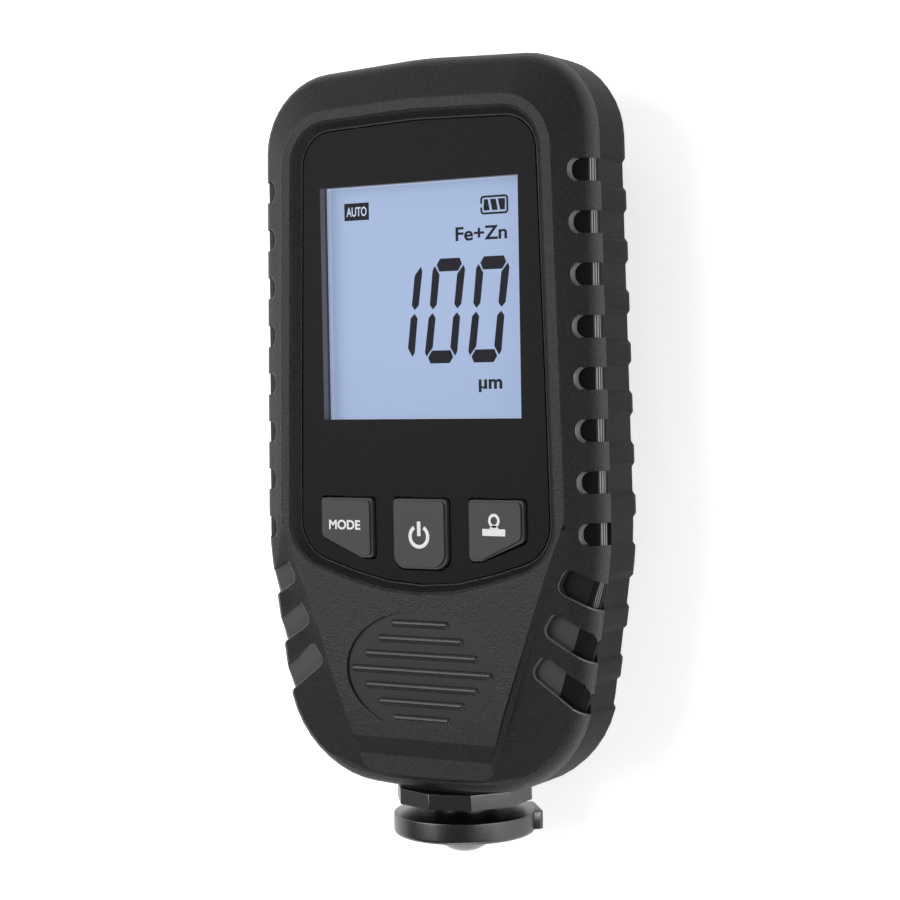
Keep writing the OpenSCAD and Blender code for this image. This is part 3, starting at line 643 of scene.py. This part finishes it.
def notch_sills(bm):
    """Brings the sill of each grip notch out towards the side line."""
    straight_out, straight_up, low_out, high_out = 0.25, 0.2, 0.7, 0.5
    for v in bm.verts:
        p = v.co / MM
        level = abs(p.z - SILL_Z) < 0.05 and abs(p.x) > 27
        if level and any(abs(abs(p.y - k) - NOTCH_HALF) < 0.03 for k in NOTCH_YS):
            v.co += Vector((math.copysign(straight_out, p.x), 0, straight_up)) * MM
        for x, y, tilt, reach in SLANTS:
            a, b = along(p, x, y, tilt)
            if p.z < SILL_Z + 1.05 and -1.6 < a < -0.4 and abs(b + SLANT_HALF) < 0.04:
                out = low_out if p.z < SILL_Z + 0.05 else high_out
                step = (math.copysign(out * math.cos(tilt), p.x), -out * math.sin(tilt), 0)
                v.co += Vector(step) * MM


def rib_ends():
    """Round ends on the ribs of the thumb rest, which get shorter away from its middle."""
    bm = bmesh.new()
    for i in range(-3, 4):
        for side in (-1, 1):
            x = side * (11.7 - 2.4 * abs(i))
            place = Vector((x, REST_Y + RIB_PITCH * i, FRONT_Z - RIB_R)) * MM
            bmesh.ops.create_uvsphere(bm, u_segments=12, v_segments=8, radius=RIB_R * MM,
                                      matrix=Matrix.Translation(place))
    for face in bm.faces:
        face.smooth = True
    return bm


class GaugeLook(bpy.types.PropertyGroup):
    """Colours and strengths that a user would change."""
    housing: bpy.props.FloatVectorProperty(
        name="Housing", description="Colour of the shells", subtype="COLOR",
        default=(0.019, 0.019, 0.0193))
    # The slope colour is a darker copy of the housing colour: painted shade on the faces turned away from the
    # front
    slope: bpy.props.FloatVectorProperty(
        name="Slope", description="Colour of the outer slopes of the front", subtype="COLOR",
        default=(0.011, 0.011, 0.0112))
    side: bpy.props.FloatVectorProperty(
        name="Side", description="Colour of the side wall and the back", subtype="COLOR",
        default=(0.016, 0.016, 0.0162))
    panel: bpy.props.FloatVectorProperty(
        name="Panel", description="Colour of the front panel", subtype="COLOR",
        default=(0.006, 0.006, 0.006))
    key: bpy.props.FloatVectorProperty(
        name="Keys", description="Colour of the keys", subtype="COLOR",
        default=(0.047, 0.047, 0.047))
    display: bpy.props.FloatVectorProperty(
        name="Display", description="Colour of the lit display", subtype="COLOR",
        default=(0.2, 0.255, 0.375))
    glow: bpy.props.FloatProperty(
        name="Glow", description="Strength of the display's own light", default=1.33, min=0.0)
    backdrop: bpy.props.FloatProperty(
        name="Backdrop", description="Lift of the floor as the camera sees it", default=0.6,
        min=0.0)


class GaugeSizes(bpy.types.PropertyGroup):
    """Sizes that a user would change."""
    edge: bpy.props.FloatProperty(
        name="Edge", description="Rounding of the collar's edges", default=0.15 * MM,
        unit="LENGTH")
    key_edge: bpy.props.FloatProperty(
        name="Key edge", description="Rounding of the keys", default=0.22 * MM, unit="LENGTH")
    floor: bpy.props.FloatProperty(
        name="Floor", description="Radius of the floor, up to its wall", default=3.0,
        unit="LENGTH")


class GAUGE_OT_shells(bpy.types.Operator):
    """Dress the two shells, the battery door and the screws"""
    bl_idname = "gauge.shells"
    bl_label = "Shells"

    def execute(self, context):
        # The strips rounded along the notch rims take the pale lip finish: painted highlight
        dressed("front_shell", SHELL, choose=shell_finish, shape=notch_sills,
                rounds=((notch_lip, 0.2, 2, LIP_HIGHLIGHT), (on_crest, 0.72, 6, 0)))
        add("rib_ends", rib_ends(), "gauge", ["rib"])
        dressed("rear_shell", ["side"], shape=scallops)
        dressed("battery_door", ["side"])
        dressed("case_screws", ["steel"])
        return {"FINISHED"}


class GAUGE_OT_display(bpy.types.Operator):
    """Dress the panel, the window and the display with its plain marks"""
    bl_idname = "gauge.display"
    bl_label = "Panel and display"

    def execute(self, context):
        dressed("front_panel", ["panel", "edge"], choose=lit_display_wall,
                rounds=((key_corner, *KEY_CORNER, 0),))
        dressed("display_window", ["window"])
        dressed("lcd_glass", ["display"])
        marks = [rect(-14.5, 36.45, -10.1, 39.05)]
        marks += digit(2.95, "abcdef") + digit(10.4, "abcdef") + digit(-4.4, "bc")
        plates("display_marks", marks + battery_sign(), LCD_Z, "gauge", "ink")
        words("display_metal", "Fe+Zn", (5.0, 32.45, 13.65, 34.5), LCD_Z, "gauge", "ink",
              bold=0.02)
        words("display_unit", "µm", (8.5, 10.3, 12.45, 12.2), LCD_Z, "gauge", "ink",
              bold=0.03)
        words("display_auto", "AUTO", (-14.1, 37.05, -10.5, 38.45), LCD_Z + 0.03, "gauge",
              "display_line")
        w, low, high, t = 17.3, 6.3, 41.5, 0.25
        border = [rect(-w, high - t, w, high), rect(-w, low, w, low + t),
                  rect(-w, low, -w + t, high), rect(w - t, low, w, high)]
        plates("display_border", border, LCD_Z, "gauge", "display_line", thick=0.02)
        return {"FINISHED"}


class GAUGE_OT_keys(bpy.types.Operator):
    """Dress the keys and print their symbols"""
    bl_idname = "gauge.keys"
    bl_label = "Keys"

    def execute(self, context):
        edge = context.scene.gauge_sizes.key_edge / MM
        for node in ("mode_key", "power_key", "zero_key"):
            dressed(node, ["key"], edge=edge, rounds=((key_corner, *KEY_CORNER, 0),))
        words("mode_word", "MODE", (-15.9, -10.0, -10.3, -8.55), KEY_Z, "mode_button", "white",
              bold=0.03)
        power = arc(0, -10.75, 1.8, 0.55, 122, 418) + [rect(-0.3, -10.7, 0.3, -8.55)]
        plates("power_symbol", power, KEY_Z, "power_button", "white")
        knob = arc(12.75, -8.2, 0.95, 0.4, 0, 360, stretch=1.08)
        neck = [(12.4, -8.9), (13.1, -8.9), (13.6, -9.42), (11.9, -9.42)]
        zero = knob + [rect(10.8, -10.4, 14.6, -9.4), neck]
        plates("zero_symbol", zero, KEY_Z, "zero_button", "white")
        return {"FINISHED"}


class GAUGE_OT_probe(bpy.types.Operator):
    """Dress the probe with its collar, foot, tip, spring and lead"""
    bl_idname = "gauge.probe"
    bl_label = "Probe"

    def execute(self, context):
        edge = context.scene.gauge_sizes.edge / MM
        dressed("probe_collar", ["dark_metal"], edge=edge, shape=collar_turn)
        stand_in("probe_plunger", turned_plunger(), ["dark_metal"], 35)
        add("foot_lug", foot_lug(), "probe", ["dark_metal"])
        dressed("probe_tip", ["tip"], shape=wide_dome)
        dressed("probe_barrel", ["steel"])
        dressed("barrel_cap", ["steel"])
        dressed("probe_coil", ["copper"])
        press = next(j for j in frame["joints"] if j["name"] == "probe_press")
        travel = press["range_m"][1]
        for node, mat in (("probe_spring", "steel"), ("probe_lead", "lead")):
            low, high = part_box(node)
            piece = dressed(node, [mat], sharp=60)
            1 - travel / (high[1] - low[1])
            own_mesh(piece)
        return {"FINISHED"}


class GAUGE_OT_inside(bpy.types.Operator):
    """Give the pieces inside the housing their finishes"""
    bl_idname = "gauge.inside"
    bl_label = "Inside"

    def execute(self, context):
        for node, mat in INSIDE.items():
            dressed(node, [mat])
        return {"FINISHED"}


class GAUGE_OT_stage(bpy.types.Operator):
    """Set up the floor, the lights and the camera"""
    bl_idname = "gauge.stage"
    bl_label = "Stage"

    def whiten(self, mat, lift):
        """Lifts the floor to white for the camera, gloss and glass, and keeps the shadow."""
        tree = mat.node_tree
        base = Sock(tree, shader_in(mat).outputs[0])
        paths = base.make("ShaderNodeLightPath").socket.node.outputs
        camera, glossy, through = (
            Sock(tree, paths[f"Is {ray} Ray"]) for ray in ("Camera", "Glossy", "Transmission"))
        near, far = (base.make("ShaderNodeEmission", {"Color": WHITE, "Strength": strength})
                     for strength in (lift, 1.0))
        reach = base.make("ShaderNodeVectorMath", {0: place_in(tree)}, out="Value",
                          operation="LENGTH")
        away = reach.ramp(WHITE_FROM, WHITE_SLOPE)
        lit = base.make("ShaderNodeMixShader", {0: away, 1: near, 2: far})
        both = base.make("ShaderNodeAddShader", {0: base, 1: lit})
        seen = camera + glossy + through
        mixed = base.make("ShaderNodeMixShader", {0: seen, 1: base, 2: both})
        mixed.into(tree.nodes["Material Output"].inputs["Surface"])

    def lay_floor(self, scene):
        """Lays a round floor with a low wall, which other views see behind the gauge."""
        bm = bmesh.new()
        bmesh.ops.create_circle(bm, cap_ends=True, segments=64, radius=scene.gauge_sizes.floor)
        border = [e for e in bm.edges if len(e.link_faces) == 1]
        wall = bmesh.ops.extrude_edge_only(bm, edges=border)["geom"]
        bmesh.ops.translate(bm, vec=(0, 0, FLOOR_WALL), verts=verts_of(wall))
        floor = put("floor", bm, ["floor"])
        self.whiten(finish("floor"), scene.gauge_look.backdrop)

    def light_up(self, scene):
        """Hangs the lamps and sets the world's plain light."""
        for name, (place, aim, size, power) in LAMPS.items():
            data = bpy.data.lights.new(name, "AREA")
            data.shape, data.size, data.size_y = "RECTANGLE", *size
            data.energy = power
            lamp = bpy.data.objects.new(name, data)
            scene.collection.objects.link(lamp)
            lamp.location = place
            facing = (Vector(aim) - Vector(place)).to_track_quat("-Z", "Y")
            lamp.rotation_euler = facing.to_euler()
        world = bpy.data.worlds.new("studio")
        world.use_nodes = True
        back = world.node_tree.nodes["Background"]
        back.inputs["Color"].default_value = WHITE
        back.inputs["Strength"].default_value = WORLD_LIGHT
        scene.world = world

    def set_camera(self, scene):
        """Sets the camera at the viewing angle, turned and rolled about its target."""
        flat = math.cos(RISE)
        out = Vector((math.sin(TURN) * flat, math.sin(RISE), math.cos(TURN) * flat))
        right = Vector((0, 1, 0)).cross(out).normalized()
        up = out.cross(right)
        axes = (math.cos(ROLL) * right + math.sin(ROLL) * up,
                math.cos(ROLL) * up - math.sin(ROLL) * right, out)
        data = bpy.data.cameras.new("camera")
        data.sensor_width, data.lens = SENSOR, LENS
        data.clip_start, data.clip_end = 0.01, 20
        camera = bpy.data.objects.new("camera", data)
        scene.collection.objects.link(camera)
        facing = Matrix(axes).transposed().to_4x4()
        camera.matrix_world = Matrix.Translation(TARGET + out * DISTANCE) @ facing
        scene.camera = camera

    def execute(self, context):
        self.lay_floor(context.scene)
        self.light_up(context.scene)
        self.set_camera(context.scene)
        context.scene.view_settings.view_transform = "Standard"
        return {"FINISHED"}


class GAUGE_PT_tools(bpy.types.Panel):
    """Lists the values and the operators of the gauge"""
    bl_label = "Coating Thickness Gauge"
    bl_idname = "GAUGE_PT_tools"
    bl_space_type = "VIEW_3D"
    bl_region_type = "UI"
    bl_category = "Gauge"

    def draw(self, context):
        for group in (context.scene.gauge_look, context.scene.gauge_sizes):
            for name in group.__annotations__:
                self.layout.prop(group, name)
        for operator in OPERATORS:
            self.layout.operator(operator.bl_idname)


OPERATORS = (GAUGE_OT_shells, GAUGE_OT_display, GAUGE_OT_keys, GAUGE_OT_probe, GAUGE_OT_inside,
             GAUGE_OT_stage)
CLASSES = (GaugeLook, GaugeSizes, *OPERATORS, GAUGE_PT_tools)


def register():
    for cls in CLASSES:
        bpy.utils.register_class(cls)
    bpy.types.Scene.gauge_look = bpy.props.PointerProperty(type=GaugeLook)
    bpy.types.Scene.gauge_sizes = bpy.props.PointerProperty(type=GaugeSizes)


def unregister():
    del bpy.types.Scene.gauge_look, bpy.types.Scene.gauge_sizes
    for cls in reversed(CLASSES):
        bpy.utils.unregister_class(cls)


def main():
    register()
    bpy.ops.gauge.shells()
    bpy.ops.gauge.display()
    bpy.ops.gauge.keys()
    bpy.ops.gauge.probe()
    bpy.ops.gauge.inside()
    bpy.ops.gauge.stage()


if __name__ == "__main__":
    main()
